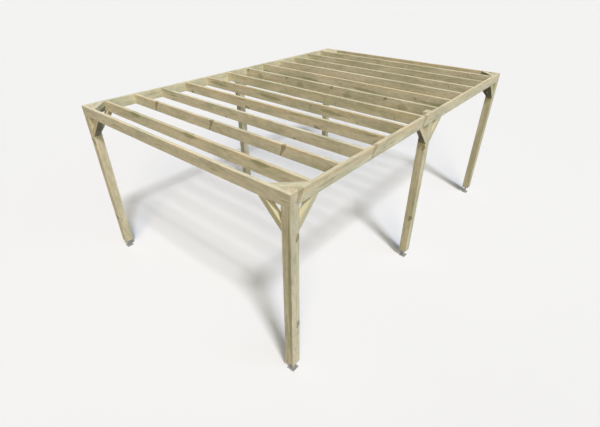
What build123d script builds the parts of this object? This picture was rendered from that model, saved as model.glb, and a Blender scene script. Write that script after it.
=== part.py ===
from build123d import *
from math import sqrt
import os

os.makedirs("parts", exist_ok=True)

# An open timber pergola frame that stands on six steel feet, in millimetres.
# +X runs along the frame, -Y is the open front, +Z is up.
# The origin lies on the floor, below the middle of the frame.

# Whole frame, measured over the outer faces of the timber
frame_length = 5800
frame_width = 3930
post_length = 2350
foot_height = 120

# Square posts
post_size = 120
post_arris = 4

# One planed board section serves for the ring of beams and for the rafters
board_thickness = 45
board_depth = 145
board_arris = 2.5
rafter_count = 12

# Braces of one square section: knees between a post and its beams, and flat ones across the corners
brace_size = 70
knee_reach = 290
corner_gap = 10
corner_clearance = 3

# Steel feet
base_side = 100
base_thickness = 6
bolt_radius = 5.5
bolt_edge = 15
seat_side = 90
seat_thickness = 5
plate_corner_cut = 4
stem_radius = 17

# Heights of the ring of beams
ring_top = foot_height + post_length
ring_underside = ring_top - board_depth

# Outer faces and post centres, counted from the origin
outer_x = frame_length / 2
outer_y = frame_width / 2
post_x = outer_x - post_size / 2
post_y = outer_y - post_size / 2

# Inner faces of the ring of beams
inner_x = outer_x - board_thickness
inner_y = outer_y - board_thickness

# Each post keeps a head of this size behind the beams
head_size = post_size - board_thickness

# The flat corner brace passes the post head at corner_gap, measured across the brace.
# The reaches count along each beam from the inner corner of the ring.
corner_inner = 2 * head_size + corner_gap * sqrt(2)
corner_outer = corner_inner + brace_size * sqrt(2)

# The first rafter stands clear of the corner brace, the others share the rest evenly
end_bay = board_thickness + corner_outer + corner_clearance + board_thickness / 2
rafter_pitch = (frame_length - 2 * end_bay) / (rafter_count - 1)


def make_post(label, side_x, side_y):
    """A post whose head is rebated, so that the beams lie flush with its outer faces."""
    centre = (side_x * post_x, side_y * post_y)
    long_rebate = (side_x * post_x, side_y * (outer_y - board_thickness / 2))
    end_rebate = (side_x * (outer_x - board_thickness / 2), side_y * post_y)
    with BuildPart() as post:
        with BuildSketch(Plane.XY.offset(foot_height)):
            with Locations(centre):
                RectangleRounded(post_size, post_size, post_arris)
        extrude(amount=post_length)
        with BuildSketch(Plane.XY.offset(ring_underside)):
            with Locations(long_rebate):
                Rectangle(post_size, board_thickness)
            if side_x != 0:
                with Locations(end_rebate):
                    Rectangle(board_thickness, post_size)
        extrude(amount=board_depth, mode=Mode.SUBTRACT)
    post.part.label = label
    export_step(post.part, f"parts/{label}.step")


def make_board(label, start, direction, length):
    """A beam or rafter on edge, drawn on its end and run out along the direction."""
    with BuildPart() as board:
        with BuildSketch(Plane(origin=start, x_dir=(0, 0, 1), z_dir=direction)):
            RectangleRounded(board_depth, board_thickness, board_arris)
        extrude(amount=length)
    board.part.label = label
    export_step(board.part, f"parts/{label}.step")


def make_knee(label, corner, run, inward):
    """A mitred brace from the face of a post up to the underside of a beam.

    The corner is where the post meets the beam on the outer face of the frame, run points
    along the beam and inward is the way from that face into the frame.
    """
    upper = knee_reach - brace_size * sqrt(2)
    normal = Vector(*run).cross(Vector(0, 0, -1))
    away = Vector(*inward)
    with BuildPart() as knee:
        with BuildSketch(Plane(origin=corner, x_dir=run, z_dir=normal)):
            with BuildLine():
                Polyline((0, knee_reach), (0, upper), (upper, 0), (knee_reach, 0), close=True)
            make_face()
        extrude(amount=brace_size, dir=away)
        slanted = knee.edges().filter_by(lambda edge: edge.length > upper)
        chamfer(slanted, length=board_arris)
    knee.part.label = label
    export_step(knee.part, f"parts/{label}.step")


def make_corner_brace(label, side_x, side_y):
    """A flat mitred brace across a corner of the ring, flush with the tops of the beams."""
    corners = []
    for along, across in ((corner_inner, 0), (corner_outer, 0), (0, corner_outer), (0, corner_inner)):
        corners.append((side_x * (inner_x - along), side_y * (inner_y - across)))
    with BuildPart() as brace:
        with BuildSketch(Plane.XY.offset(ring_top - brace_size)):
            with BuildLine():
                Polyline(*corners, close=True)
            make_face()
        extrude(amount=brace_size)
        long_edges = brace.edges().filter_by(lambda edge: edge.length > corner_inner)
        chamfer(long_edges, length=board_arris)
    brace.part.label = label
    export_step(brace.part, f"parts/{label}.step")


def make_foot(label, side_x, side_y):
    """A steel foot: drilled base plate, round stem and the plate that carries the post."""
    centre = (side_x * post_x, side_y * post_y)
    bolt_spacing = base_side - 2 * bolt_edge
    seat_bottom = foot_height - seat_thickness
    with BuildPart() as foot:
        with BuildSketch(Plane.XY) as base:
            with Locations(centre):
                Rectangle(base_side, base_side)
            chamfer(base.vertices(), length=plate_corner_cut)
            with Locations(centre):
                with GridLocations(bolt_spacing, bolt_spacing, 2, 2):
                    Circle(bolt_radius, mode=Mode.SUBTRACT)
        extrude(amount=base_thickness)
        with BuildSketch(Plane.XY.offset(base_thickness)):
            with Locations(centre):
                Circle(stem_radius)
        extrude(amount=seat_bottom - base_thickness)
        with BuildSketch(Plane.XY.offset(seat_bottom)) as seat:
            with Locations(centre):
                Rectangle(seat_side, seat_side)
            chamfer(seat.vertices(), length=plate_corner_cut)
        extrude(amount=seat_thickness)
    foot.part.label = label
    export_step(foot.part, f"parts/{label}.step")


# Posts and feet, two rows of three
side_names = {-1: "front", 1: "back"}
row_names = {-1: "left", 0: "middle", 1: "right"}
for side_y, side_name in side_names.items():
    for side_x, row_name in row_names.items():
        make_post(f"post_{side_name}_{row_name}", side_x, side_y)
        make_foot(f"foot_{side_name}_{row_name}", side_x, side_y)

# The end beams run through at the corners and the long beams fit between them.
# A long beam is two boards that meet over the middle post, the first one on the left.
board_middle = ring_top - board_depth / 2
ring_x = outer_x - board_thickness / 2
ring_y = outer_y - board_thickness / 2
for side_y, side_name in side_names.items():
    make_board(f"beam_{side_name}", (-inner_x, side_y * ring_y, board_middle), (1, 0, 0), inner_x)
    make_board(f"beam_{side_name}_second", (0, side_y * ring_y, board_middle), (1, 0, 0), inner_x)
make_board("beam_left", (-ring_x, -outer_y, board_middle), (0, 1, 0), frame_width)
make_board("beam_right", (ring_x, -outer_y, board_middle), (0, 1, 0), frame_width)

# Rafters between the long beams, their tops level with the ring
for number in range(rafter_count):
    rafter_x = end_bay - outer_x + number * rafter_pitch
    make_board(f"rafter_{number + 1:02d}", (rafter_x, -inner_y, board_middle), (0, 1, 0), 2 * inner_y)

# Two knee braces at every post: corner posts brace both ways, middle posts along the beam
knee_x = outer_x - post_size
knee_y = outer_y - post_size
half_post = post_size / 2
for side_y, side_name in side_names.items():
    inward = (0, -side_y, 0)
    for side_x, row_name in ((-1, "left"), (1, "right")):
        along = (side_x * knee_x, side_y * outer_y, ring_underside)
        across = (side_x * outer_x, side_y * knee_y, ring_underside)
        middle = (side_x * half_post, side_y * outer_y, ring_underside)
        make_knee(f"knee_{side_name}_{row_name}_along", along, (-side_x, 0, 0), inward)
        make_knee(f"knee_{side_name}_{row_name}_across", across, (0, -side_y, 0), (-side_x, 0, 0))
        make_knee(f"knee_{side_name}_middle_{row_name}", middle, (side_x, 0, 0), inward)
        make_corner_brace(f"corner_brace_{side_name}_{row_name}", side_x, side_y)
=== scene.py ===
"""Looks for an open timber pergola: pressure-treated softwood, zinc-coated feet and a plain studio."""

from collections import namedtuple
from math import cos, pi, radians, sin, sqrt
from random import Random

import bmesh
import bpy
from bpy.props import FloatProperty, FloatVectorProperty, IntProperty, PointerProperty
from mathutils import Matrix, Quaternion, Vector


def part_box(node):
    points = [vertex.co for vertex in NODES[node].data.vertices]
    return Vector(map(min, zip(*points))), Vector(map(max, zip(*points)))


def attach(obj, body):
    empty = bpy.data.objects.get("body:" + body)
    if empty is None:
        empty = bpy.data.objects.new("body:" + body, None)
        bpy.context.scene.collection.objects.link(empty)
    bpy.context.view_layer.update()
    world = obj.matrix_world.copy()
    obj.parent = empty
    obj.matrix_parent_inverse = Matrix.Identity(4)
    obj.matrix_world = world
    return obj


bl_info = {
    "name": "Open Timber Pergola",
    "version": (1, 0, 0),
    "blender": (4, 5, 0),
    "location": "3D View > Sidebar > Pergola",
    "description": "Gives the packed pergola frame its timber, steel, screws and studio",
    "category": "Object",
}

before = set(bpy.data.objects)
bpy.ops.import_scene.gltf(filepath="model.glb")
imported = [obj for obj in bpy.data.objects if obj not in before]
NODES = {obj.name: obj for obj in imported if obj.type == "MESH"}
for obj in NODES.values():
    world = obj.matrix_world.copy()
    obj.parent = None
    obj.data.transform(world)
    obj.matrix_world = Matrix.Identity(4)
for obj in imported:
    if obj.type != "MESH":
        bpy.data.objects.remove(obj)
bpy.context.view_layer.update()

BODY = "root"

# The frame's own directions
ALONG = Vector((1.0, 0.0, 0.0))
INWARD = Vector((0.0, 1.0, 0.0))
UP = Vector((0.0, 0.0, 1.0))

# Kinds of socket in the node groups
FLOAT = "NodeSocketFloat"
VECTOR = "NodeSocketVector"
COLOUR = "NodeSocketColor"

# The pith axis of a log is read as a cylinder of this radius when knots are placed round it
LOG_RADIUS = 0.07

# Patterns drawn out along the grain: repeats a metre along and across it, and their detail
GRAIN_PATTERNS = {
    "Fibre": ((9.0, 800.0, 800.0), 3.0),
    "Streak": ((1.8, 42.0, 42.0), 3.0),
    "Mottle": ((11.0, 34.0, 34.0), 3.0),
    "Cloud": ((1.5, 7.0, 7.0), 2.0),
    "Dry": ((1.9, 9.0, 9.0), 3.0),
}

# How deep in a board or rafter, from its middle, a mark shows on one of the wide faces
FACE = 0.022

# A mark is a long spot inside a timber, in metres from the timber's middle: X runs along the grain.
# It reaches both ways from its middle and comes back at even spacing. Strength fades it, from 1 to 0.
Mark = namedtuple("Mark", "middle reach spacing radius strength", defaults=(1.0,))

# Branches sawn lengthwise that stand out in the photo
BRANCHES = {
    "beam_front": Mark((-0.08, -FACE, 0.012), (0.030, 0.0, 0.055), 1.27, 0.052, 0.66),
    "rafter_02": Mark((0.085, FACE, 0.010), (-0.032, 0.0, 0.066), 1.245, 0.040),
    "rafter_03": Mark((0.33, FACE, -0.065), (0.005, 0.0, 0.006), 1.27, 0.020),
    "rafter_04": Mark((0.39, FACE, -0.058), (0.024, 0.0, 0.004), 1.32, 0.040),
    "rafter_07": Mark((-0.12, FACE, 0.040), (-0.012, 0.0, 0.014), 0.99, 0.028),
    "post_front_left": Mark((0.665, -0.060, -0.032), (0.024, 0.0, -0.014), 1.19, 0.038),
    "post_front_middle": Mark((-0.530, -0.032, 0.060), (0.026, -0.010, 0.0), 1.19, 0.037),
    "post_back_left": Mark((0.665, 0.020, 0.060), (-0.040, -0.040, 0.0), 1.33, 0.030),
}

# Dark green streaks and patches that stand out in the photo
STAINS = {
    "rafter_01": Mark((-0.10, FACE, 0.050), (0.150, 0.0, 0.0), 1.18, 0.028),
    "rafter_05": Mark((0.39, FACE, 0.002), (0.300, 0.0, 0.010), 1.22, 0.021),
    "rafter_07": Mark((0.55, FACE, -0.025), (0.100, 0.0, 0.006), 0.98, 0.036, 0.8),
    "rafter_08": Mark((0.74, FACE, -0.036), (0.330, 0.0, 0.012), 1.24, 0.020),
    "post_front_left": Mark((0.0, -0.033, 0.060), (1.200, 0.0, 0.0), 3.00, 0.015),
}

# How green the preservative left a timber, from 0 to 1, where the photo shows it
TINTS = {
    "rafter_01": 0.15, "rafter_02": 0.0, "rafter_03": 0.15, "rafter_04": 0.0, "rafter_05": 0.2,
    "rafter_06": 0.6, "rafter_07": 0.6, "rafter_08": 0.2, "rafter_09": 0.0, "rafter_11": 0.9,
    "beam_front": 0.0, "beam_front_second": 0.0, "beam_left": 0.0, "post_front_left": 0.0,
    "post_front_right": 0.9, "post_back_left": 0.0,
    # The front-left knees are set greener and so darker: partly painted shade for their inner faces under
    # post and beam
    "knee_front_left_across": 1.0, "knee_front_left_along": 0.8, "corner_brace_front_left": 0.6,
}

# How much paler or darker than the rest a timber is, where the photo shows it.
# This is partly each timber's own tone and partly painted light: paler for a timber in fuller light, darker
# for one in more shade.
TONES_AND_PAINTED_LIGHT = {
    "beam_left": 1.05, "beam_right": 0.96, "beam_front": 1.01, "post_front_left": 1.01,
    "post_front_middle": 1.01, "post_back_left": 1.06, "rafter_07": 0.96, "rafter_11": 0.96,
}


def nodes_of(prefix):
    """The names of the frame's nodes that start with the prefix, in order."""
    return sorted(name for name in NODES if name.startswith(prefix))


# Properties


def colour(name, description, red, green, blue):
    """The colour of a surface."""
    return FloatVectorProperty(
        name=name, description=description, subtype="COLOR", size=4,
        default=(red, green, blue, 1.0), min=0.0, max=1.0)


def distance(name, description, default, low, high):
    """A length in metres and its limits."""
    return FloatProperty(
        name=name, description=description, subtype="DISTANCE", unit="LENGTH",
        default=default, min=low, max=high)


def share(name, description, default):
    """A part of one."""
    return FloatProperty(
        name=name, description=description, subtype="FACTOR", default=default, min=0.0, max=1.0)


def in_degrees(name, description, degrees):
    """An angle, given here in degrees and kept in radians."""
    return FloatProperty(name=name, description=description, subtype="ANGLE", default=radians(degrees))


def lamp_strength(title, default):
    """How much light a lamp throws."""
    return FloatProperty(
        name=f"{title} Strength", description="Light on a face turned to the lamp, in watts a square metre",
        default=default, min=0.0)


def lamp_colour(title, red, green, blue):
    """The colour of a lamp's light."""
    return FloatVectorProperty(
        name=f"{title} Colour", description="Colour of the lamp's light", subtype="COLOR", size=3,
        default=(red, green, blue), min=0.0, max=1.0)


def lamp_spread(title, degrees):
    """How broad a lamp looks from the frame."""
    return in_degrees(f"{title} Spread", "Apparent width of the lamp, which softens its shadows", degrees)


def lamp_way(title, x, y, z):
    """Where a lamp stands."""
    return FloatVectorProperty(
        name=f"{title} Direction", description="Points from the frame to the lamp", subtype="DIRECTION",
        size=3, default=(x, y, z))


class SoftwoodLook(bpy.types.PropertyGroup):
    """Colours and grain of the planed, pressure-treated softwood."""

    sapwood: colour("Sapwood", "Pale outer wood", 0.79, 0.725, 0.565)
    heartwood: colour("Heartwood", "Warmer wood near the pith", 0.77, 0.65, 0.46)
    latewood: colour("Latewood", "Darker line at the end of each growth ring", 0.52, 0.43, 0.24)
    treatment: colour("Treatment", "Pale green that the wood preservative leaves", 0.64, 0.615, 0.43)
    bleached: colour("Bleached", "Pale patches where the surface has dried out", 0.79, 0.77, 0.62)
    stain: colour("Stain", "Dark green streaks where the preservative gathers", 0.27, 0.27, 0.12)
    knot: colour("Knot", "Heart of a knot", 0.20, 0.14, 0.07)
    end_grain: colour("End Grain", "Wood cut across the grain", 0.66, 0.52, 0.39)
    # Its pale edges are partly real wear and partly painted highlight along the arrises
    rubbed: colour("Rubbed", "Edges that handling has rubbed pale", 0.86, 0.81, 0.66)
    crack: colour("Crack", "Inside of a drying check", 0.05, 0.04, 0.025)
    ring_width: distance("Ring Width", "Mean width of one growth ring", 0.0045, 0.001, 0.02)
    branch_ring: distance("Branch Ring", "Width of one growth ring of a branch", 0.0028, 0.0005, 0.01)
    knot_size: distance("Knot Size", "Radius of the largest knots", 0.015, 0.002, 0.05)
    knots_per_metre: FloatProperty(
        name="Knot Density", description="Cells per metre in which a knot may stand",
        default=3.5, min=0.5, max=20.0)
    bleached_share: share("Bleached Share", "How strongly the dry patches show", 0.40)
    latewood_share: share("Latewood Share", "How strongly the growth rings show", 0.42)
    streak_share: share("Streak Share", "How strongly the fine streaks of preservative show", 0.38)
    stain_share: share("Stain Share", "How strongly the long stains show", 0.62)
    halo_share: share("Halo Share", "How much darker the wood turns round a knot", 0.25)
    knot_share: share("Knot Share", "How strongly the round knots show", 0.80)
    branch_share: share("Branch Share", "How strongly the branches sawn lengthwise show", 0.78)
    end_share: share("End Grain Share", "How strongly the colour of end grain shows", 0.45)
    rubbed_and_highlight_share: share("Rubbed Share", "How strongly the rubbed edges show", 0.35)
    crack_share: share("Crack Share", "How strongly the dark of the drying checks shows", 0.90)
    roughness: share("Roughness", "Roughness of the planed surface", 0.68)
    sheen: share("Sheen", "How strongly the planed surface mirrors", 0.35)
    relief: distance("Relief", "Depth of grain, knots and drying checks", 0.0012, 0.0, 0.01)
    post_check: distance("Post Check", "Width of the drying checks in the posts", 0.0011, 0.0, 0.005)
    board_check: distance(
        "Board Check", "Width of the drying checks in beams and rafters", 0.0005, 0.0, 0.005)


class SteelLook(bpy.types.PropertyGroup):
    """Colours of the zinc-coated feet and of the screws."""

    bright_zinc: colour("Bright Zinc", "Bright crystals of the zinc coat", 0.405, 0.40, 0.395)
    dull_zinc: colour("Dull Zinc", "Dull crystals of the zinc coat", 0.27, 0.265, 0.26)
    rubbed_zinc: colour("Rubbed Zinc", "Edges of a foot that are rubbed bright", 0.50, 0.49, 0.485)
    dust: colour("Dust", "Dust from the ground on a foot", 0.34, 0.30, 0.25)
    crystal: distance("Crystal", "Width of one zinc crystal", 0.009, 0.001, 0.05)
    zinc_relief: distance("Zinc Relief", "Depth of the zinc crystals", 0.0003, 0.0, 0.002)
    plating: colour("Plating", "Yellow plating of a screw", 0.66, 0.60, 0.46)
    dull_plating: colour("Dull Plating", "Duller patches of that plating", 0.50, 0.46, 0.36)
    worn_plating: colour("Worn Plating", "Bare edges of a screw", 0.75, 0.74, 0.70)
    plating_relief: distance("Plating Relief", "Depth of the plating's patches", 0.0001, 0.0, 0.001)


class HardwareLook(bpy.types.PropertyGroup):
    """Sizes and places of the screws and of the welds on the feet."""

    head_radius: distance("Head Radius", "Radius of the washer head of a timber screw", 0.0072, 0.002, 0.02)
    head_height: distance("Head Height", "Height of that head", 0.0030, 0.001, 0.01)
    head_sides: IntProperty(
        name="Head Sides", description="Sides of the round head, twice the points of its socket",
        default=12, min=8, max=24)
    end_distance: distance(
        "End Distance", "From the tip of a brace to its screws, along the slant", 0.055, 0.02, 0.1)
    pair_spacing: distance("Pair Spacing", "From one screw of a brace's pair to the other", 0.034, 0.01, 0.06)
    rafter_scale: FloatProperty(
        name="Rafter Screw Scale", description="Size of the rafters' screws beside the others",
        subtype="FACTOR", default=0.72, min=0.3, max=1.5)
    rafter_lean: in_degrees(
        "Rafter Screw Lean", "Lean of the screws that run from a rafter's side into the beam", 35.0)
    rafter_end: distance("Rafter End", "From the end of a rafter to its screws", 0.028, 0.01, 0.08)
    rafter_rise: distance(
        "Rafter Rise", "From the middle of a rafter up and down to its screws", 0.035, 0.0, 0.06)
    post_rise: distance(
        "Post Rise", "From the beams' underside to a post's lowest screws", 0.020, 0.005, 0.05)
    post_spacing: distance(
        "Post Spacing", "Height from one screw of a post head to the next", 0.035, 0.01, 0.06)
    post_stagger: distance(
        "Post Stagger", "From the middle of a post head aside to its screws", 0.014, 0.0, 0.03)
    middle_shift: distance(
        "Middle Shift", "From the joint of two beams to the screws on either side of it", 0.030, 0.01, 0.05)
    seat_spacing: distance(
        "Seat Spacing", "Side of the square of screws below the seat plate of a foot", 0.062, 0.04, 0.08)
    stem_radius: distance("Stem Radius", "Radius of the stem of a foot", 0.017, 0.005, 0.05)
    base_thickness: distance("Base Thickness", "Thickness of the base plate of a foot", 0.006, 0.001, 0.02)
    seat_thickness: distance(
        "Seat Thickness", "Thickness of the plate that carries the post", 0.005, 0.001, 0.02)
    weld_leg: distance(
        "Weld Leg", "Width of the weld on each of the parts that it joins", 0.0045, 0.001, 0.01)
    weld_ripples: IntProperty(
        name="Weld Ripples", description="Ripples round one weld", default=18, min=6, max=40)


class StageLook(bpy.types.PropertyGroup):
    """Camera, lamps and floor of the studio."""

    lens: FloatProperty(
        name="Lens", description="Focal length on a 36 mm wide sensor", subtype="DISTANCE_CAMERA",
        default=23.02, min=5.0, max=300.0)
    camera_place: FloatVectorProperty(
        name="Camera Place", description="Where the camera stands", subtype="TRANSLATION", size=3,
        default=(-5.017, -3.864, 4.122))
    camera_heading: in_degrees("Camera Heading", "Turn of the view from +Y towards +X", 49.785)
    camera_tilt: in_degrees("Camera Tilt", "Tilt of the view below the horizon", 32.846)
    camera_roll: in_degrees("Camera Roll", "Turn of the picture about its middle", 0.09)

    # The key lamp throws the shadows
    key_strength: lamp_strength("Key", 2.19)
    key_colour: lamp_colour("Key", 0.98, 0.99, 1.0)
    key_spread: lamp_spread("Key", 9.0)
    key_way: lamp_way("Key", -0.26, -0.50, 0.83)

    # A broad, warm lamp on the camera's side
    side_strength: lamp_strength("Side", 1.60)
    side_colour: lamp_colour("Side", 1.0, 0.875, 0.60)
    side_spread: lamp_spread("Side", 26.0)
    side_way: lamp_way("Side", -0.616, -0.589, 0.523)

    # A weak, blue lamp on the open front
    front_strength: lamp_strength("Front", 0.58)
    front_colour: lamp_colour("Front", 0.45, 0.76, 1.0)
    front_spread: lamp_spread("Front", 50.0)
    front_way: lamp_way("Front", 0.10, -0.80, 0.59)

    # A low lamp on the sides turned from the camera
    back_strength: lamp_strength("Back", 1.4)
    back_colour: lamp_colour("Back", 1.0, 0.97, 0.92)
    back_spread: lamp_spread("Back", 70.0)
    back_way: lamp_way("Back", 0.72, 0.69, 0.0)

    fill_strength: FloatProperty(
        name="Fill Strength", description="Even light from all round", default=0.015, min=0.0)
    backdrop: colour("Backdrop", "Pale colour that the camera sees all round", 0.90, 0.90, 0.89)
    floor_colour: colour(
        "Floor Colour", "Floor colour that blends with the backdrop in this light", 0.94, 0.93, 0.97)
    floor_bounce: colour(
        "Floor Bounce", "Floor colour that throws light back on the timber", 0.02, 0.018, 0.016)
    floor_side: distance("Floor Side", "Side of the square floor", 400.0, 10.0, 1000.0)
    floor_drop: distance("Floor Drop", "How far the floor lies below the feet", 0.0008, 0.0, 0.01)


# Node trees


class Value:
    """An output of a node, with which formulas can be written."""

    def __init__(self, make, socket):
        self.make = make
        self.socket = socket

    def __add__(self, other):
        return self.make.math("ADD", self, other)

    def __sub__(self, other):
        return self.make.math("SUBTRACT", self, other)

    def __rsub__(self, other):
        return self.make.math("SUBTRACT", other, self)

    def __mul__(self, other):
        return self.make.math("MULTIPLY", self, other)

    def __truediv__(self, other):
        return self.make.math("DIVIDE", self, other)


class TreeMaker:
    """Adds nodes to one tree and gives back their outputs, so that a tree reads as formulas."""

    def __init__(self, tree):
        self.tree = tree

    def feed(self, socket, value):
        """Links the value to the socket, or sets it where the value is a plain number or colour."""
        if isinstance(value, Value):
            self.tree.links.new(value.socket, socket)
        else:
            socket.default_value = value

    def node(self, kind, given=None, **settings):
        """A new node with its settings, its inputs fed by name or by number."""
        node = self.tree.nodes.new(kind)
        for name, value in settings.items():
            setattr(node, name, value)
        for key, value in (given or {}).items():
            self.feed(node.inputs[key], value)
        return node

    def output(self, kind, key, given=None, **settings):
        """One output of a new node, by name or by number."""
        return Value(self, self.node(kind, given, **settings).outputs[key])

    def outputs(self, kind, given=None, **settings):
        """All outputs of a new node by name."""
        sockets = self.node(kind, given, **settings).outputs
        return {socket.name: Value(self, socket) for socket in sockets}

    def math(self, operation, first, second=0.0, clamp=False):
        """One step of plain arithmetic, kept from 0 to 1 where it is clamped."""
        given = {0: first, 1: second}
        return self.output("ShaderNodeMath", 0, given, operation=operation, use_clamp=clamp)

    def vector_math(self, operation, given, key="Vector"):
        """One step of vector arithmetic."""
        return self.output("ShaderNodeVectorMath", key, given, operation=operation)

    def moved(self, place, way):
        """The place, moved by the way."""
        return self.vector_math("ADD", {0: place, 1: way})

    def offset(self, place, start):
        """The way from the start to the place."""
        return self.vector_math("SUBTRACT", {0: place, 1: start})

    def stretched(self, place, factors):
        """The place with each of its parts times its own factor."""
        return self.vector_math("MULTIPLY", {0: place, 1: factors})

    def scaled(self, place, factor):
        """The place times one factor."""
        return self.vector_math("SCALE", {0: place, "Scale": factor})

    def unit(self, way):
        """The same way, one long."""
        return self.vector_math("NORMALIZE", {0: way})

    def crossed(self, first, second):
        """A way that is square to both."""
        return self.vector_math("CROSS_PRODUCT", {0: first, 1: second})

    def dot(self, first, second):
        """How far one way runs along the other, times that one's length."""
        return self.vector_math("DOT_PRODUCT", {0: first, 1: second}, "Value")

    def length(self, way):
        """How long the way is."""
        return self.vector_math("LENGTH", {0: way}, "Value")

    def split(self, value):
        """The three parts of a vector or colour."""
        return list(self.outputs("ShaderNodeSeparateXYZ", {0: value}).values())

    def joined(self, x, y, z):
        """A vector from its three parts."""
        return self.output("ShaderNodeCombineXYZ", 0, {0: x, 1: y, 2: z})

    def mix(self, factor, first, second, mode="MIX"):
        """Two colours mixed, the first alone at a factor of 0 and the second alone at 1."""
        # The node has sockets for each kind of data: 6 and 7 take colours, and output 2 is their mix
        given = {0: factor, 6: first, 7: second}
        return self.output("ShaderNodeMix", 2, given, data_type="RGBA", blend_type=mode)

    def step(self, value, start, end, low=0.0, high=1.0):
        """Runs smoothly from low to high while the value runs from start to end."""
        given = {0: value, 1: start, 2: end, 3: low, 4: high}
        return self.output("ShaderNodeMapRange", 0, given, interpolation_type="SMOOTHSTEP")

    def noise(self, place, scale=1.0, detail=2.0, roughness=0.5, key="Fac"):
        """A soft random pattern, about 0.5 on average."""
        given = {"Vector": place, "Scale": scale, "Detail": detail, "Roughness": roughness}
        return self.output("ShaderNodeTexNoise", key, given)

    def bump(self, height, depth):
        """A normal from a height, of which one stands for the given depth in metres."""
        given = {"Height": height, "Distance": depth, "Strength": 1.0}
        return self.output("ShaderNodeBump", 0, given)

    def normal(self):
        """The way that the surface faces."""
        return self.output("ShaderNodeNewGeometry", "Normal")

    def place(self):
        """The point of the surface in the coordinates of its piece."""
        return self.output("ShaderNodeTexCoord", "Object")

    def surface(self, given):
        """Ends a material with its shader."""
        shader = self.output("ShaderNodeBsdfPrincipled", 0, given)
        self.node("ShaderNodeOutputMaterial", {"Surface": shader})

    def backdrop_rays(self):
        """One for the rays that show the surroundings, to the camera or in metal and glass."""
        path = self.outputs("ShaderNodeLightPath")
        seen = self.math("MAXIMUM", path["Is Camera Ray"], path["Is Glossy Ray"])
        return self.math("MAXIMUM", seen, path["Is Transmission Ray"])


def new_group(name, inputs, outputs):
    """A shader node group, its maker and its inputs.

    An input is given by its default, and takes a number where that is one and a vector otherwise.
    """
    tree = bpy.data.node_groups.new(name, "ShaderNodeTree")
    for label, default in inputs.items():
        kind = FLOAT if isinstance(default, float) else VECTOR
        socket = tree.interface.new_socket(name=label, in_out="INPUT", socket_type=kind)
        if default is not None:
            socket.default_value = default
    for label, kind in outputs.items():
        tree.interface.new_socket(name=label, in_out="OUTPUT", socket_type=kind)
    make = TreeMaker(tree)
    return tree, make, make.outputs("NodeGroupInput")


def build_log_section():
    """Where a point lies in the log: along it, out from its pith and round it."""
    tree, make, given = new_group(
        "Log Section",
        {"Vector": None, "Seed": None, "Pith": (0.0, 0.0, -0.09), "Wander": 0.012},
        {"Along": FLOAT, "Radius": FLOAT, "Across": VECTOR, "Around": VECTOR})

    # The pith wanders a little from side to side along the timber
    place = make.split(make.moved(given["Vector"], given["Seed"]))
    drift = make.noise(make.joined(place[0], 0.0, 0.0), scale=0.9, detail=1.0, key="Color")
    drift = make.scaled(make.offset(drift, (0.5, 0.5, 0.5)), given["Wander"])
    offset = make.split(make.moved(make.offset(given["Vector"], given["Pith"]), drift))
    across = make.joined(0.0, offset[1], offset[2])
    along = make.split(given["Vector"])[0]
    rim = make.scaled(make.unit(across), LOG_RADIUS)
    make.node("NodeGroupOutput", {
        "Along": along, "Radius": make.length(across), "Across": across,
        "Around": make.moved(rim, make.joined(along, 0.0, 0.0))})
    return tree


def cut_branch(make, away, edge, ring):
    """A sawn branch: even inside, with rings of its own and a darker rim of bark."""
    paleness, line_depth = 0.30, 0.14
    body = make.step(away, edge, edge * 0.78)
    core = make.step(away, edge * 0.84, edge * 0.66)
    lines = make.step(make.math("FRACT", away / ring), 0.2, 0.9, 0.0, line_depth)
    shade = 1.0 - core * (paleness - lines)
    return body * shade


def build_knots():
    """Branches that run out and up from the pith, as round knots or as bars across a face."""
    tree, make, given = new_group(
        "Knots",
        {"Around": None, "Radius": 0.05, "Seed": None, "Density": 7.0, "Size": 0.015, "Slant": 0.3,
         "Ring": 0.0028},
        {"Knot": FLOAT, "Halo": FLOAT, "Swell": FLOAT})

    # Each branch climbs as it runs out, and stands in a cell of its own round the log
    climb = given["Radius"] * given["Slant"]
    place = make.offset(given["Around"], make.joined(climb, 0.0, 0.0))
    place = make.moved(place, given["Seed"])
    cells = make.outputs("ShaderNodeTexVoronoi", {"Vector": place, "Scale": given["Density"]})
    ragged = make.noise(place, scale=90.0) * 0.003
    away = cells["Distance"] / given["Density"] + ragged

    # Knots differ in size and fade out at the pith
    chance = make.split(cells["Color"])
    size = given["Size"] * make.step(chance[0], 0.0, 1.0, 0.45, 1.0)
    knot = cut_branch(make, away, size, given["Ring"])
    live = make.step(given["Radius"], 0.004, 0.014)
    halo = make.step(away, size * 3.2, size * 0.8) * live
    make.node("NodeGroupOutput", {
        "Knot": knot * live, "Halo": halo, "Swell": make.math("POWER", halo, 1.5) * size})
    return tree


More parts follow.
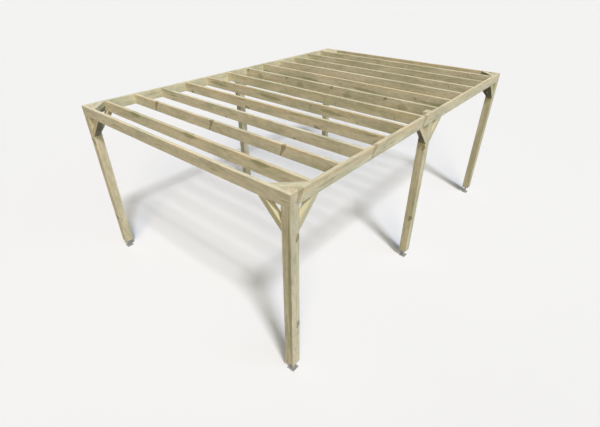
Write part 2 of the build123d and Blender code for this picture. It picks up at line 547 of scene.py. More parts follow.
def build_marks():
    """Long spots that come back at even spacing along the timber.

    At Lens 0 they taper towards one end and have a firm outline, as branches do.
    At Lens 1 they taper towards both and fray, as stains do.
    """
    tree, make, given = new_group(
        "Marks",
        {"Vector": None, "Seed": None, "Middle": None, "Reach": (0.0, 0.0, 0.05), "Spacing": 1.2,
         "Radius": 0.02, "Lens": 0.0, "Ring": 0.0028},
        {"Heart": FLOAT, "Halo": FLOAT, "Swell": FLOAT})

    # The way to the nearest mark, and the nearest point on its middle line
    offset = make.split(make.offset(given["Vector"], given["Middle"]))
    fraction = make.math("FRACT", offset[0] / given["Spacing"] + 0.5)
    along = (fraction - 0.5) * given["Spacing"]
    place = make.joined(along, offset[1], offset[2])
    reach = given["Reach"]
    part = make.dot(place, reach) / make.dot(reach, reach)
    part = make.math("MINIMUM", make.math("MAXIMUM", part, -1.0), 1.0)
    away = make.length(make.offset(place, make.scaled(reach, part)))

    # How broad the mark is there
    wedge = make.step(part, -1.0, 1.0, 0.45, 1.0)
    belly = make.step(make.math("ABSOLUTE", part), 1.0, 0.1, 0.1, 1.0)
    width = wedge + given["Lens"] * (belly - wedge)
    radius = given["Radius"] * width

    # Its outline is uneven, and that of a stain is drawn out along the grain
    drawn = 1.0 - given["Lens"] * 0.75
    place = make.stretched(given["Vector"], make.joined(drawn, 1.0, 1.0))
    place = make.moved(place, given["Seed"])
    bumpy = make.step(make.noise(place, scale=26.0, detail=0.5), 0.25, 0.75, 0.72, 1.24)
    ragged = make.step(make.noise(place, scale=45.0, detail=3.0), 0.25, 0.75, 0.55, 1.35)
    uneven = bumpy + given["Lens"] * (ragged - bumpy)
    edge = radius * uneven

    halo = make.step(away, edge * 2.2, edge * 0.4)
    make.node("NodeGroupOutput", {
        "Heart": cut_branch(make, away, edge * 0.88, given["Ring"]), "Halo": halo,
        "Swell": make.math("POWER", halo, 1.5) * radius})
    return tree


def build_growth_rings():
    """The latewood lines of uneven growth rings that part round the knots."""
    tree, make, given = new_group(
        "Growth Rings",
        {"Vector": None, "Radius": 0.05, "Swell": 0.0, "Seed": None, "Ring Width": 0.0045},
        {"Latewood": FLOAT})

    # The rings waver along the log and swell out round the knots
    place = make.moved(make.stretched(given["Vector"], (1.4, 9.0, 9.0)), given["Seed"])
    warp = make.noise(place) * 0.014
    reach = given["Radius"] + warp + given["Swell"]

    # Some years are narrow and some broad, and each ends in a dark line with a sharp outer edge
    uneven = make.noise(make.joined(given["Radius"], 0.0, 0.0), scale=45.0, detail=1.0)
    rings = reach / given["Ring Width"] + uneven * 2.0
    phase = make.math("FRACT", rings)
    late = make.step(phase, 0.25, 0.9) * make.step(phase, 1.0, 0.93)
    make.node("NodeGroupOutput", {"Latewood": late})
    return tree


def build_fibre():
    """Fibre, streaks, mottles, broad clouds and dry patches, drawn out along the grain."""
    tree, make, given = new_group(
        "Wood Fibre", {"Vector": None, "Seed": None}, dict.fromkeys(GRAIN_PATTERNS, FLOAT))
    masks = {}
    for label, (stretch, detail) in GRAIN_PATTERNS.items():
        place = make.moved(make.stretched(given["Vector"], stretch), given["Seed"])
        masks[label] = make.noise(place, detail=detail, roughness=0.6)
    make.node("NodeGroupOutput", masks)
    return tree


def build_drying_check():
    """A crack that opens from the pith towards one side and comes and goes along the timber."""
    tree, make, given = new_group(
        "Drying Check",
        {"Along": 0.0, "Across": None, "Seed": None, "Side": (0.0, 1.0, 0.0), "Width": 0.0012},
        {"Check": FLOAT})

    # How far aside of the crack a point lies, which wanders along the timber
    normal = make.crossed(given["Side"], (1.0, 0.0, 0.0))
    start = make.moved(make.joined(given["Along"], 0.0, 0.0), given["Seed"])
    wander = (make.noise(start, scale=7.0, detail=4.0) - 0.5) * 0.010
    aside = make.math("ABSOLUTE", make.dot(given["Across"], normal) + wander)

    # It opens in some stretches, and on one side of the pith only
    opening = make.step(make.noise(start, scale=1.7, detail=1.0), 0.50, 0.64)
    width = opening * given["Width"]
    inside = make.step(aside, width * 1.6, width * 0.4)
    facing = make.step(make.dot(given["Across"], given["Side"]), 0.008, 0.02)
    make.node("NodeGroupOutput", {"Check": inside * facing * opening})
    return tree


def build_eased_edges():
    """A mask along the outer edges of a piece, where handling rubs it paler. On the timber it also places
    painted highlight along the arrises.
    """
    tree, make, given = new_group("Eased Edges", {"Width": 0.004, "Vector": None}, {"Wear": FLOAT})
    rounded = make.output("ShaderNodeBevel", 0, {"Radius": given["Width"]}, samples=4)
    turned = 1.0 - make.dot(make.normal(), rounded)
    patchy = make.noise(given["Vector"], scale=14.0, detail=3.0)
    make.node("NodeGroupOutput", {"Wear": make.step(turned, 0.01, 0.14) * make.step(patchy, 0.3, 0.7)})
    return tree


def build_end_grain():
    """A mask on the faces that are cut across the grain."""
    tree, make, given = new_group("End Grain", {"Grain": (1.0, 0.0, 0.0)}, {"End": FLOAT})
    turned = make.math("ABSOLUTE", make.dot(make.normal(), given["Grain"]))
    make.node("NodeGroupOutput", {"End": make.step(turned, 0.6, 0.75)})
    return tree


def use_group(make, tree, given):
    """Places a group in the tree, feeds its inputs by name and gives back its outputs."""
    return make.outputs("ShaderNodeGroup", given, node_tree=tree)


def use_marks(make, look, vector, seed, mark, lens):
    """Places one row of marks in a timber."""
    return use_group(make, bpy.data.node_groups["Marks"], {
        "Vector": vector, "Seed": seed, "Middle": mark.middle, "Reach": mark.reach,
        "Spacing": mark.spacing, "Radius": mark.radius, "Lens": lens, "Ring": look.branch_ring})


def build_softwood(look):
    """Colour, roughness and height of a planed timber, from a point whose X runs along the grain."""
    tree, make, given = new_group(
        "Softwood",
        {"Vector": None, "Seed": None, "Pith": None, "Grain": None, "Check Side": (0.0, 1.0, 0.0),
         "Check Width": 0.0, "Tint": 0.5, "Shade": 1.0, "Branch": 0.0, "Branch Swell": 0.0,
         "Stain": 0.0},
        {"Color": COLOUR, "Roughness": FLOAT, "Height": FLOAT})
    point, seed = given["Vector"], given["Seed"]
    log = use_group(make, build_log_section(), {"Vector": point, "Seed": seed, "Pith": given["Pith"]})
    knots = use_group(make, build_knots(), {
        "Around": log["Around"], "Radius": log["Radius"], "Seed": seed,
        "Density": look.knots_per_metre, "Size": look.knot_size, "Ring": look.branch_ring})
    late = use_group(make, build_growth_rings(), {
        "Vector": point, "Radius": log["Radius"], "Seed": seed,
        "Swell": knots["Swell"] + given["Branch Swell"],
        "Ring Width": look.ring_width})["Latewood"]
    fibre = use_group(make, build_fibre(), {"Vector": point, "Seed": seed})
    check = use_group(make, build_drying_check(), {
        "Along": log["Along"], "Across": log["Across"], "Seed": seed, "Side": given["Check Side"],
        "Width": given["Check Width"]})["Check"]
    wear = use_group(make, bpy.data.node_groups["Eased Edges"], {"Vector": point})["Wear"]
    end = use_group(make, build_end_grain(), {"Grain": given["Grain"]})["End"]

    # Wood, preservative and growth rings
    heart_reach = log["Radius"] + fibre["Cloud"] * 0.05
    wood = make.mix(make.step(heart_reach, 0.085, 0.055), look.sapwood[:], look.heartwood[:])
    green = fibre["Cloud"] + given["Tint"] * 0.22
    wood = make.mix(make.step(green, 0.42, 0.78), wood, look.treatment[:])
    wood = make.mix(make.step(fibre["Dry"], 0.48, 0.68, 0.0, look.bleached_share), wood, look.bleached[:])
    wood = make.mix(late * look.latewood_share, wood, look.latewood[:])

    # Unevenly bright from place to place, and each timber as a whole paler or darker, which is partly painted
    # light
    bright = make.step(fibre["Fibre"], 0.2, 0.8, 0.90, 1.07)
    bright = bright * make.step(fibre["Mottle"], 0.3, 0.7, 0.90, 1.08)
    bright = bright * make.step(fibre["Cloud"], 0.72, 0.30, 0.90, 1.08) * given["Shade"]
    wood = make.mix(1.0, wood, make.joined(bright, bright, bright), "MULTIPLY")

    # Streaks, branches, cut ends, edges and cracks. The pale edges are partly rubbed wear and partly painted
    # highlight
    wood = make.mix(make.step(fibre["Streak"], 0.54, 0.78, 0.0, look.streak_share), wood, look.stain[:])
    wood = make.mix(given["Stain"] * look.stain_share, wood, look.stain[:])
    wood = make.mix(knots["Halo"] * look.halo_share, wood, look.stain[:])
    wood = make.mix(knots["Knot"] * look.knot_share, wood, look.knot[:])
    wood = make.mix(given["Branch"] * look.branch_share, wood, look.knot[:])
    wood = make.mix(end * look.end_share, wood, look.end_grain[:])
    wood = make.mix(wear * look.rubbed_and_highlight_share, wood, look.rubbed[:])
    wood = make.mix(check * look.crack_share, wood, look.crack[:])

    # How rough and how high the surface is
    rough = fibre["Fibre"] * 0.16 + look.roughness - knots["Knot"] * 0.18
    height = fibre["Fibre"] * 0.22 + late * 0.16 + knots["Knot"] * 0.25 + late * 0.3 * end
    make.node("NodeGroupOutput", {
        "Color": wood, "Roughness": make.math("ADD", rough, end * 0.10, clamp=True),
        "Height": height - check})
    return tree


def build_dust():
    """Pale dust that settles on faces turned up and gathers low down."""
    tree, make, given = new_group("Dust", {"Vector": None, "Top": 0.05}, {"Dust": FLOAT})
    height = make.split(given["Vector"])[2]
    low = make.step(height, given["Top"], 0.0)
    patchy = make.step(make.noise(given["Vector"], scale=60.0, detail=4.0), 0.35, 0.7)
    facing = make.step(make.split(make.normal())[2], -0.2, 0.9, 0.25, 1.0)
    make.node("NodeGroupOutput", {"Dust": low * patchy * facing})
    return tree


# Materials


def new_material(name):
    """An empty node material and its maker."""
    material = bpy.data.materials.new(name)
    material.use_nodes = True
    material.node_tree.nodes.clear()
    return material, TreeMaker(material.node_tree)


def chance_branch(name):
    """A row of small branches for a timber on which the photo shows none in particular."""
    draw = Random(name + " branch")
    middle = (draw.uniform(-0.6, 0.6), draw.choice((-FACE, FACE)), draw.uniform(-0.06, 0.06))
    reach = (draw.uniform(-0.012, 0.012), 0.0, draw.uniform(0.008, 0.03))
    return Mark(middle, reach, draw.uniform(0.9, 1.5), draw.uniform(0.006, 0.011))


def chance_stain(name):
    """A row of faint streaks for a timber on which the photo shows none in particular."""
    draw = Random(name + " streak")
    middle = (draw.uniform(-0.6, 0.6), draw.choice((-FACE, FACE)), draw.uniform(-0.05, 0.05))
    reach = (draw.uniform(0.10, 0.28), 0.0, draw.uniform(-0.012, 0.012))
    return Mark(middle, reach, draw.uniform(1.0, 1.6), draw.uniform(0.004, 0.010))


def timber_material(name, look, grain, pith, check_width, tint):
    """The softwood of one piece, its grain laid along that piece and its pattern its own."""
    low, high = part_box(name)
    draw = Random(name)
    seed = tuple(draw.uniform(3.0, 90.0) for _ in range(3))
    angle = draw.uniform(0.0, 2.0 * pi)
    material, make = new_material(f"softwood_{name}")
    turn = ALONG.rotation_difference(grain).to_euler()
    frame_of_timber = {"Vector": make.place(), "Location": (low + high) / 2, "Rotation": turn}
    local = make.output("ShaderNodeMapping", 0, frame_of_timber, vector_type="TEXTURE")
    branch_mark = BRANCHES.get(name) or chance_branch(name)
    branch = use_marks(make, look, local, seed, branch_mark, 0.0)
    stain_mark = STAINS.get(name) or chance_stain(name)
    stain = use_marks(make, look, local, seed, stain_mark, 1.0)
    wood = use_group(make, bpy.data.node_groups["Softwood"], {
        "Vector": local, "Seed": seed, "Pith": pith, "Grain": grain,
        # A timber's overall paleness is partly painted light
        "Tint": TINTS.get(name, tint), "Shade": TONES_AND_PAINTED_LIGHT.get(name, 1.0),
        "Check Side": (0.0, cos(angle), sin(angle)), "Check Width": check_width,
        "Branch": branch["Heart"] * branch_mark.strength,
        "Branch Swell": branch["Swell"], "Stain": stain["Halo"] * stain_mark.strength})
    make.surface({
        "Base Color": wood["Color"], "Roughness": wood["Roughness"],
        "Normal": make.bump(wood["Height"], look.relief), "Specular IOR Level": look.sheen})
    return material


def zinc_material(name, look):
    """Hot-dip zinc: flat crystals in several greys, dull patches and some dust near the floor."""
    material, make = new_material(name)
    place = make.place()
    crystals = make.outputs("ShaderNodeTexVoronoi", {"Vector": place, "Scale": 1.0 / look.crystal})
    shade = make.split(crystals["Color"])[0]
    patches = make.noise(place, scale=35.0, detail=4.0)
    wear = use_group(make, bpy.data.node_groups["Eased Edges"], {"Vector": place, "Width": 0.0015})["Wear"]
    dust = use_group(make, bpy.data.node_groups["Dust"], {"Vector": place})["Dust"]
    zinc = make.mix(shade, look.dull_zinc[:], look.bright_zinc[:])
    zinc = make.mix(make.step(patches, 0.45, 0.75, 0.0, 0.6), zinc, look.dull_zinc[:])
    zinc = make.mix(wear * 0.5, zinc, look.rubbed_zinc[:])
    zinc = make.mix(dust * 0.5, zinc, look.dust[:])
    height = shade * 0.4 + patches
    make.surface({
        "Base Color": zinc, "Roughness": make.step(shade, 0.0, 1.0, 0.34, 0.52) + dust * 0.3,
        "Metallic": 0.9 - dust * 0.6, "Normal": make.bump(height, look.zinc_relief)})
    return material


def plated_material(name, look):
    """Yellow-passivated zinc on a screw, a little duller in patches."""
    material, make = new_material(name)
    place = make.place()
    patches = make.noise(place, scale=220.0, detail=3.0)
    wear = use_group(make, bpy.data.node_groups["Eased Edges"], {"Vector": place, "Width": 0.0006})["Wear"]
    plate = make.mix(make.step(patches, 0.35, 0.7), look.plating[:], look.dull_plating[:])
    make.surface({
        "Base Color": make.mix(wear, plate, look.worn_plating[:]),
        "Roughness": make.step(patches, 0.3, 0.7, 0.28, 0.46),
        "Metallic": 1.0, "Normal": make.bump(patches, look.plating_relief)})
    return material


def dress(name, material):
    """Puts one material on a node of the frame."""
    slots = NODES[name].material_slots
    if not slots:
        raise RuntimeError(f"node {name} came without a material slot")
    for slot in slots:
        slot.link = "OBJECT"
        slot.material = material


def shared_group(name, builder):
    """The node group of that name, built the first time it is asked for."""
    return bpy.data.node_groups.get(name) or builder()


def prepare_softwood(context):
    """Builds the groups that every timber uses, once, and gives back the look."""
    look = context.scene.pergola_softwood
    shared_group("Eased Edges", build_eased_edges)
    shared_group("Marks", build_marks)
    shared_group("Softwood", lambda: build_softwood(look))
    return look


# Screws and welds


def build_scatter():
    """A geometry group that sets a template at each point, its Z along the point's axis."""
    tree = bpy.data.node_groups.new("Scatter", "GeometryNodeTree")
    for label, kind in (("Points", "NodeSocketGeometry"), ("Template", "NodeSocketObject"),
                        ("Scale", FLOAT), ("Seed", "NodeSocketInt"), ("Material", "NodeSocketMaterial")):
        tree.interface.new_socket(name=label, in_out="INPUT", socket_type=kind)
    tree.interface.new_socket(name="Mesh", in_out="OUTPUT", socket_type="NodeSocketGeometry")
    make = TreeMaker(tree)
    given = make.outputs("NodeGroupInput")
    axis = make.output("GeometryNodeInputNamedAttribute", 0, {"Name": "axis"}, data_type="FLOAT_VECTOR")
    upright = make.output("FunctionNodeAlignRotationToVector", 0, {"Vector": axis}, axis="Z")
    # Sockets 2 and 3 hold the limits of a plain random number, and output 1 is that number
    whole_turn = {2: 0.0, 3: 2.0 * pi, "Seed": given["Seed"]}
    angle = make.output("FunctionNodeRandomValue", 1, whole_turn, data_type="FLOAT")
    spin = make.output("FunctionNodeAxisAngleToRotation", 0, {"Axis": UP, "Angle": angle})
    turned = make.output("FunctionNodeRotateRotation", 0, {0: upright, 1: spin}, rotation_space="LOCAL")
    shape = make.output("GeometryNodeObjectInfo", "Geometry", {"Object": given["Template"]})
    size = make.joined(given["Scale"], given["Scale"], given["Scale"])
    placed = make.output("GeometryNodeInstanceOnPoints", 0, {
        "Points": given["Points"], "Instance": shape, "Rotation": turned, "Scale": size})
    joined = make.output("GeometryNodeRealizeInstances", 0, {"Geometry": placed})
    coated = make.output(
        "GeometryNodeSetMaterial", 0, {"Geometry": joined, "Material": given["Material"]})
    make.node("NodeGroupOutput", {"Mesh": coated})
    return tree


def revolve(name, rings):
    """An object from rings of points, joined one to the next, with the last ring closed by a face."""
    shape = bmesh.new()
    made = [[shape.verts.new(point) for point in ring] for ring in rings]
    count = len(rings[0])
    for below, above in zip(made, made[1:]):
        for index in range(count):
            following = (index + 1) % count
            shape.faces.new((below[index], below[following], above[following], above[index]))
    shape.faces.new(made[-1])
    shape.faces.new(reversed(made[0]))
    mesh = bpy.data.meshes.new(name)
    shape.to_mesh(mesh)
    shape.free()
    return bpy.data.objects.new(name, mesh)


def ring_of(sides, height, radii):
    """Points round Z at one height, whose radii take turns."""
    points = []
    for index in range(sides):
        angle = 2.0 * pi * index / sides
        radius = radii[index % len(radii)]
        points.append((radius * cos(angle), radius * sin(angle), height))
    return points


def screw_template(look):
    """The washer head of a timber screw with its star-shaped socket."""
    radius, height, sides = look.head_radius, look.head_height, look.head_sides
    sunk, rim, socket_floor = -0.2 * height, 0.4 * height, 0.25 * height
    dome = 0.66 * radius
    star = (0.46 * radius, 0.34 * radius)
    return revolve("screw_template", [
        ring_of(sides, sunk, (radius,)),
        ring_of(sides, rim, (radius,)),
        ring_of(sides, height, (dome,)),
        ring_of(sides, height, star),
        ring_of(sides, socket_floor, (0.9 * star[0], 0.9 * star[1])),
    ])


def weld_template(look):
    """A rippled ring of weld in the corner between a stem and a plate."""
    shape = bmesh.new()
    per_ripple = 4
    count = look.weld_ripples * per_ripple
    sunk = 0.1 * look.weld_leg
    ripple, wobble = 0.09, 0.05
    rows = []
    for index in range(count):
        angle = 2.0 * pi * index / count
        leg = look.weld_leg * (1.0 + ripple * sin(2.0 * pi * index / per_ripple) + wobble * sin(3.0 * angle))
        bulge = 0.12 * leg
        # The root is sunk a little into stem and plate, and the face between its toes swells outwards
        section = [(look.stem_radius - sunk, -sunk), (look.stem_radius + leg, -sunk),
                   (look.stem_radius + 0.67 * leg + bulge, 0.33 * leg + bulge),
                   (look.stem_radius + 0.33 * leg + bulge, 0.67 * leg + bulge),
                   (look.stem_radius - sunk, leg)]
        rows.append([shape.verts.new((out * cos(angle), out * sin(angle), up)) for out, up in section])
    for index, row in enumerate(rows):
        following = rows[(index + 1) % count]
        for place in range(len(row)):
            after = (place + 1) % len(row)
            shape.faces.new((row[place], row[after], following[after], following[place]))
    bmesh.ops.recalc_face_normals(shape, faces=shape.faces)
    mesh = bpy.data.meshes.new("weld_template")
    shape.to_mesh(mesh)
    shape.free()
    for face in mesh.polygons:
        face.use_smooth = True
    return bpy.data.objects.new("weld_template", mesh)


def scatter(context, name, template, places, material, scale=1.0):
    """One plain mesh of copies of the template. A place is a point and the axis of the copy there."""
    # Points that carry the axes
    mesh = bpy.data.meshes.new(name)
    mesh.from_pydata([point for point, _ in places], [], [])
    axes = mesh.attributes.new("axis", "FLOAT_VECTOR", "POINT")
    axes.data.foreach_set("vector", [part for _, axis in places for part in axis])
    piece = bpy.data.objects.new(name, mesh)
    context.scene.collection.objects.link(piece)
    context.scene.collection.objects.link(template)

    # The modifier's inputs are set by identifier before it is first evaluated
    tree = shared_group("Scatter", build_scatter)
    sockets = {item.name: item.identifier for item in tree.interface.items_tree if item.in_out == "INPUT"}
    given = {"Template": template, "Scale": scale, "Seed": len(name), "Material": material}
    modifier = piece.modifiers.new("scatter", "NODES")
    modifier.node_group = tree
    for label, value in given.items():
        modifier[sockets[label]] = value

    # Its result becomes the mesh of the piece
    plain = bpy.data.meshes.new_from_object(piece.evaluated_get(context.evaluated_depsgraph_get()))
    piece.modifiers.remove(modifier)
    piece.data = plain
    if not plain.polygons:
        raise RuntimeError(f"{name} came out empty")
    plain.name = name
    bpy.data.meshes.remove(mesh)
    bpy.data.objects.remove(template)
    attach(piece, BODY)


def screw_steel(context):
    """The material of every screw, made the first time it is asked for."""
    shared_group("Eased Edges", build_eased_edges)
    made = bpy.data.materials.get("screw_plating")
    return made or plated_material("screw_plating", context.scene.pergola_steel)


def middle_of(name):
    """The middle of a node's box."""
    low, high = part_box(name)
    return (low + high) / 2


def toward_middle(value):
    """-1 or 1, the way back to the middle of the frame, or 0 on its middle line."""
    near = 0.01
    if abs(value) < near:
        return 0.0
    return -1.0 if value > 0.0 else 1.0


# Operators


class PERGOLA_OT_posts(bpy.types.Operator):
    """Finishes the six posts, whose pith runs up inside the section"""

    bl_idname = "pergola.finish_posts"
    bl_label = "Finish Posts"

    def execute(self, context):
        look = prepare_softwood(context)
        for name in nodes_of("post_"):
            draw = Random(name + " pith")
            pith = (0.0, draw.uniform(-0.03, 0.03), draw.uniform(-0.03, 0.03))
            tint = draw.uniform(0.3, 0.9)
            dress(name, timber_material(name, look, UP, pith, look.post_check, tint))
        return {"FINISHED"}


def board_pith(name):
    """The pith of the log that a board was cut from, off its thickness and its depth."""
    draw = Random(name + " pith")
    return (0.0, draw.uniform(-0.045, 0.045), draw.choice((-1.0, 1.0)) * draw.uniform(0.05, 0.12))


class PERGOLA_OT_ring_beams(bpy.types.Operator):
    """Finishes the two long beams and the two end beams"""

    bl_idname = "pergola.finish_ring_beams"
    bl_label = "Finish Ring Beams"

    def execute(self, context):
        look = prepare_softwood(context)
        for name in nodes_of("beam_"):
            low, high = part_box(name)
            size = high - low
            grain = ALONG if size.x > size.y else INWARD
            tint = Random(name + " tint").uniform(0.2, 0.8)
            dress(name, timber_material(name, look, grain, board_pith(name), look.board_check, tint))
        return {"FINISHED"}


class PERGOLA_OT_rafters(bpy.types.Operator):
    """Finishes the rafters between the long beams"""

    bl_idname = "pergola.finish_rafters"
    bl_label = "Finish Rafters"

    def execute(self, context):
        look = prepare_softwood(context)
        for name in nodes_of("rafter_"):
            tint = Random(name + " tint").uniform(0.2, 1.0)
            dress(name, timber_material(name, look, INWARD, board_pith(name), look.board_check, tint))
        return {"FINISHED"}


def knee_grain(name):
    """The slant of a knee brace, up and away from its post."""
    low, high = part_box(name)
    across = high.y - low.y > high.x - low.x
    if across:
        return Vector((0.0, 1.0 if "front" in name else -1.0, 1.0)).normalized()
    to_right = name.endswith(("left_along", "middle_right"))
    return Vector((1.0 if to_right else -1.0, 0.0, 1.0)).normalized()


class PERGOLA_OT_knee_braces(bpy.types.Operator):
    """Finishes the knee braces between posts and beams"""

    bl_idname = "pergola.finish_knee_braces"
    bl_label = "Finish Knee Braces"

    def execute(self, context):
        look = prepare_softwood(context)
        for name in nodes_of("knee_"):
            draw = Random(name + " pith")
            pith = (0.0, draw.uniform(-0.05, 0.05), draw.uniform(0.04, 0.08))
            dress(name, timber_material(name, look, knee_grain(name), pith, 0.0, draw.uniform(0.1, 0.6)))
        return {"FINISHED"}


def corner_grain(name):
    """The slant of a flat corner brace, level across its corner."""
    same_way = ("front" in name) == ("left" in name)
    return Vector((1.0, -1.0 if same_way else 1.0, 0.0)).normalized()


class PERGOLA_OT_corner_braces(bpy.types.Operator):
    """Finishes the flat braces across the corners of the ring"""

    bl_idname = "pergola.finish_corner_braces"
    bl_label = "Finish Corner Braces"

    def execute(self, context):
        look = prepare_softwood(context)
        for name in nodes_of("corner_brace_"):
            draw = Random(name + " pith")
            pith = (0.0, draw.uniform(-0.03, 0.03), draw.uniform(-0.08, -0.05))
            dress(name, timber_material(name, look, corner_grain(name), pith, 0.0, draw.uniform(0.1, 0.6)))
        return {"FINISHED"}


class PERGOLA_OT_feet(bpy.types.Operator):
    """Finishes the steel feet"""

    bl_idname = "pergola.finish_feet"
    bl_label = "Finish Feet"

    def execute(self, context):
        shared_group("Eased Edges", build_eased_edges)
        shared_group("Dust", build_dust)
        zinc = zinc_material("zinc_coat", context.scene.pergola_steel)
        for name in nodes_of("foot_"):
            dress(name, zinc)
        return {"FINISHED"}


class PERGOLA_OT_brace_screws(bpy.types.Operator):
    """Adds the screws that run through the ends of the knee and corner braces"""

    bl_idname = "pergola.add_brace_screws"
    bl_label = "Add Brace Screws"

    def execute(self, context):
        look = context.scene.pergola_hardware
        places = []
        for name in nodes_of("knee_"):
            grain = knee_grain(name)
            outward = Vector((grain.x, grain.y, -grain.z))
            places += self.on_slant(name, grain, outward, look)
        for name in nodes_of("corner_brace_"):
            centre = middle_of(name)
            outward = Vector((toward_middle(centre.x), toward_middle(centre.y), 0.0)).normalized()
            places += self.on_slant(name, corner_grain(name), outward, look)
        scatter(context, "brace_screws", screw_template(look), places, screw_steel(context))
        return {"FINISHED"}

    def on_slant(self, name, grain, outward, look):
        """Two pairs of screws on the long slanted face, whose middle is the middle of the box."""
        low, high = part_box(name)
        flat = grain.cross(outward).normalized()
        half = max(high - low) / sqrt(2.0) - look.end_distance
        places = []
        for reach in (-half, half):
            for side in (-look.pair_spacing / 2, look.pair_spacing / 2):
                places.append((middle_of(name) + grain * reach + flat * side, outward))
        return places


class PERGOLA_OT_rafter_screws(bpy.types.Operator):
    """Adds the leaning screws that run from the sides of each rafter into the long beams"""

    bl_idname = "pergola.add_rafter_screws"
    bl_label = "Add Rafter Screws"

    def execute(self, context):
        look = context.scene.pergola_hardware
        places = []
        for name in nodes_of("rafter_"):
            low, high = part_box(name)
            centre = middle_of(name)
            for end in (-1.0, 1.0):
                along = centre.y + end * ((high.y - low.y) / 2 - look.rafter_end)
                for side, heights in ((-1.0, (-look.rafter_rise, look.rafter_rise)), (1.0, (0.0,))):
                    across = low.x if side < 0.0 else high.x
                    axis = Vector((side * cos(look.rafter_lean), -end * sin(look.rafter_lean), 0.0))
                    places += [(Vector((across, along, centre.z + height)), axis) for height in heights]
        scatter(context, "rafter_screws", screw_template(look), places, screw_steel(context),
                look.rafter_scale)
        return {"FINISHED"}


class PERGOLA_OT_post_screws(bpy.types.Operator):
    """Adds the screws that run from inside through the head of each post into the beams"""

    bl_idname = "pergola.add_post_screws"
    bl_label = "Add Post Screws"

    def execute(self, context):
        look = context.scene.pergola_hardware
        beam_low, beam_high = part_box("beam_left")
        rebate = beam_high.x - beam_low.x
        places = []
        for name in nodes_of("post_"):
            low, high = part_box(name)
            centre = middle_of(name)
            way_x, way_y = toward_middle(centre.x), toward_middle(centre.y)
            head = Vector((centre.x + way_x * rebate / 2, centre.y + way_y * rebate / 2, beam_low.z))
            inner_x = high.x if way_x > 0.0 else low.x
            inner_y = high.y if way_y > 0.0 else low.y
            across = INWARD * way_y
            for row, aside in ((0, -look.post_stagger), (1, look.post_stagger)):
                height = look.post_rise + row * look.post_spacing
                if way_x:
                    places.append((Vector((inner_x, head.y + aside, head.z + height)), ALONG * way_x))
                    places.append((Vector((head.x + aside, inner_y, head.z + height)), across))
                else:
                    for shift in (-look.middle_shift, look.middle_shift):
                        places.append((Vector((head.x + shift, inner_y, head.z + 2.0 * height)), across))
        scatter(context, "post_screws", screw_template(look), places, screw_steel(context))
        return {"FINISHED"}


class PERGOLA_OT_foot_hardware(bpy.types.Operator):
    """Adds the welds round each stem and the screws below each seat plate"""

    bl_idname = "pergola.add_foot_hardware"
    bl_label = "Add Foot Hardware"

    def execute(self, context):
        look = context.scene.pergola_hardware
        welds, screws = [], []
        for name in nodes_of("foot_"):
            low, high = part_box(name)
            centre = middle_of(name)
            seat = high.z - look.seat_thickness
            welds.append((Vector((centre.x, centre.y, low.z + look.base_thickness)), UP))
            welds.append((Vector((centre.x, centre.y, seat)), -UP))
            half = look.seat_spacing / 2
            for aside in (-half, half):
                for inward in (-half, half):
                    screws.append((Vector((centre.x + aside, centre.y + inward, seat)), -UP))
        zinc = bpy.data.materials["zinc_coat"]
        scatter(context, "foot_welds", weld_template(look), welds, zinc)
        scatter(context, "seat_screws", screw_template(look), screws, screw_steel(context))
        return {"FINISHED"}


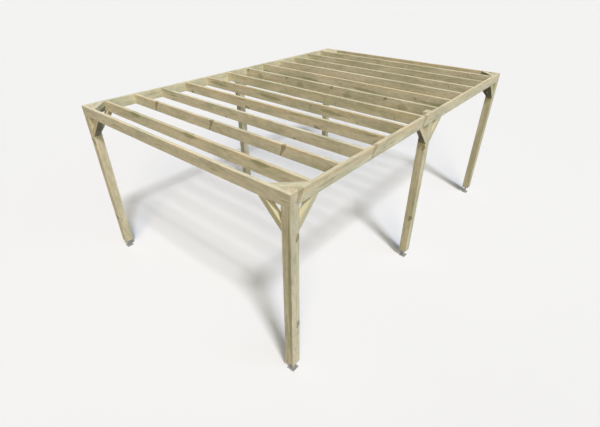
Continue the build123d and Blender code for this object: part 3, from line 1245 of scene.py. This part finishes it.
class PERGOLA_OT_stage(bpy.types.Operator):
    """Sets the floor, the lamps, the pale surroundings and the camera"""

    bl_idname = "pergola.set_stage"
    bl_label = "Set Stage"

    def execute(self, context):
        stage = context.scene.pergola_stage
        self.lay_floor(context, stage)
        self.light(context, stage)
        self.surround(context, stage)
        self.place_camera(context, stage)
        context.scene.view_settings.view_transform = "Standard"
        return {"FINISHED"}

    def lay_floor(self, context, stage):
        """Lays a square floor that is pale to the camera and dark to the timber."""
        half, below = stage.floor_side / 2.0, -stage.floor_drop
        mesh = bpy.data.meshes.new("floor")
        corners = [(-half, -half, below), (half, -half, below), (half, half, below), (-half, half, below)]
        mesh.from_pydata(corners, [], [(0, 1, 2, 3)])
        floor = bpy.data.objects.new("floor", mesh)
        context.scene.collection.objects.link(floor)
        material, make = new_material("studio_floor")
        colour_seen = make.mix(make.backdrop_rays(), stage.floor_bounce[:], stage.floor_colour[:])
        make.surface({"Base Color": colour_seen, "Roughness": 0.9, "Specular IOR Level": 0.0})
        mesh.materials.append(material)

    def light(self, context, stage):
        """Hangs the four lamps, each turned from where it stands to the frame."""
        for name in ("key", "side", "front", "back"):
            lamp = bpy.data.lights.new(name, "SUN")
            lamp.energy = getattr(stage, name + "_strength")
            lamp.color = getattr(stage, name + "_colour")
            lamp.angle = getattr(stage, name + "_spread")
            holder = bpy.data.objects.new(name, lamp)
            way = Vector(getattr(stage, name + "_way"))
            holder.rotation_euler = way.to_track_quat("Z", "Y").to_euler()
            context.scene.collection.objects.link(holder)

    def surround(self, context, stage):
        """Sets the even fill light and the backdrop that the camera sees."""
        world = bpy.data.worlds.new("studio")
        world.use_nodes = True
        world.node_tree.nodes.clear()
        make = TreeMaker(world.node_tree)
        white = (1.0, 1.0, 1.0, 1.0)
        fill = make.output("ShaderNodeBackground", 0, {"Color": white, "Strength": stage.fill_strength})
        pale = make.output("ShaderNodeBackground", 0, {"Color": stage.backdrop[:], "Strength": 1.0})
        both = make.output("ShaderNodeMixShader", 0, {0: make.backdrop_rays(), 1: fill, 2: pale})
        make.node("ShaderNodeOutputWorld", {"Surface": both})
        context.scene.world = world

    def place_camera(self, context, stage):
        """Stands the camera where the photograph was taken from."""
        lens = bpy.data.cameras.new("camera")
        lens.sensor_width = 36.0
        lens.lens = stage.lens
        lens.clip_start, lens.clip_end = 0.05, 500.0
        camera = bpy.data.objects.new("camera", lens)
        heading, tilt = stage.camera_heading, stage.camera_tilt
        ahead = Vector((cos(tilt) * sin(heading), cos(tilt) * cos(heading), -sin(tilt)))
        camera.location = stage.camera_place
        level = ahead.to_track_quat("-Z", "Y")
        camera.rotation_euler = (Quaternion(ahead, stage.camera_roll) @ level).to_euler()
        context.scene.collection.objects.link(camera)
        context.scene.camera = camera


class PERGOLA_PT_panel(bpy.types.Panel):
    """Sizes, colours and steps of the pergola"""

    bl_idname = "PERGOLA_PT_panel"
    bl_label = "Open Timber Pergola"
    bl_space_type = "VIEW_3D"
    bl_region_type = "UI"
    bl_category = "Pergola"

    def draw(self, context):
        for group in PROPERTY_GROUPS:
            look = getattr(context.scene, group)
            box = self.layout.box()
            for name in look.__annotations__:
                box.prop(look, name)
        for operator in OPERATORS:
            self.layout.operator(operator.bl_idname)


PROPERTY_GROUPS = {
    "pergola_softwood": SoftwoodLook,
    "pergola_steel": SteelLook,
    "pergola_hardware": HardwareLook,
    "pergola_stage": StageLook,
}
OPERATORS = (
    PERGOLA_OT_posts, PERGOLA_OT_ring_beams, PERGOLA_OT_rafters, PERGOLA_OT_knee_braces,
    PERGOLA_OT_corner_braces, PERGOLA_OT_feet, PERGOLA_OT_brace_screws, PERGOLA_OT_rafter_screws,
    PERGOLA_OT_post_screws, PERGOLA_OT_foot_hardware, PERGOLA_OT_stage,
)
CLASSES = (*PROPERTY_GROUPS.values(), *OPERATORS, PERGOLA_PT_panel)


def register():
    for item in CLASSES:
        bpy.utils.register_class(item)
    for name, group in PROPERTY_GROUPS.items():
        setattr(bpy.types.Scene, name, PointerProperty(type=group))


def unregister():
    for name in PROPERTY_GROUPS:
        delattr(bpy.types.Scene, name)
    for item in reversed(CLASSES):
        bpy.utils.unregister_class(item)


def main():
    """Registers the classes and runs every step."""
    register()
    bpy.ops.pergola.finish_posts()
    bpy.ops.pergola.finish_ring_beams()
    bpy.ops.pergola.finish_rafters()
    bpy.ops.pergola.finish_knee_braces()
    bpy.ops.pergola.finish_corner_braces()
    bpy.ops.pergola.finish_feet()
    bpy.ops.pergola.add_brace_screws()
    bpy.ops.pergola.add_rafter_screws()
    bpy.ops.pergola.add_post_screws()
    bpy.ops.pergola.add_foot_hardware()
    bpy.ops.pergola.set_stage()


if __name__ == "__main__":
    main()
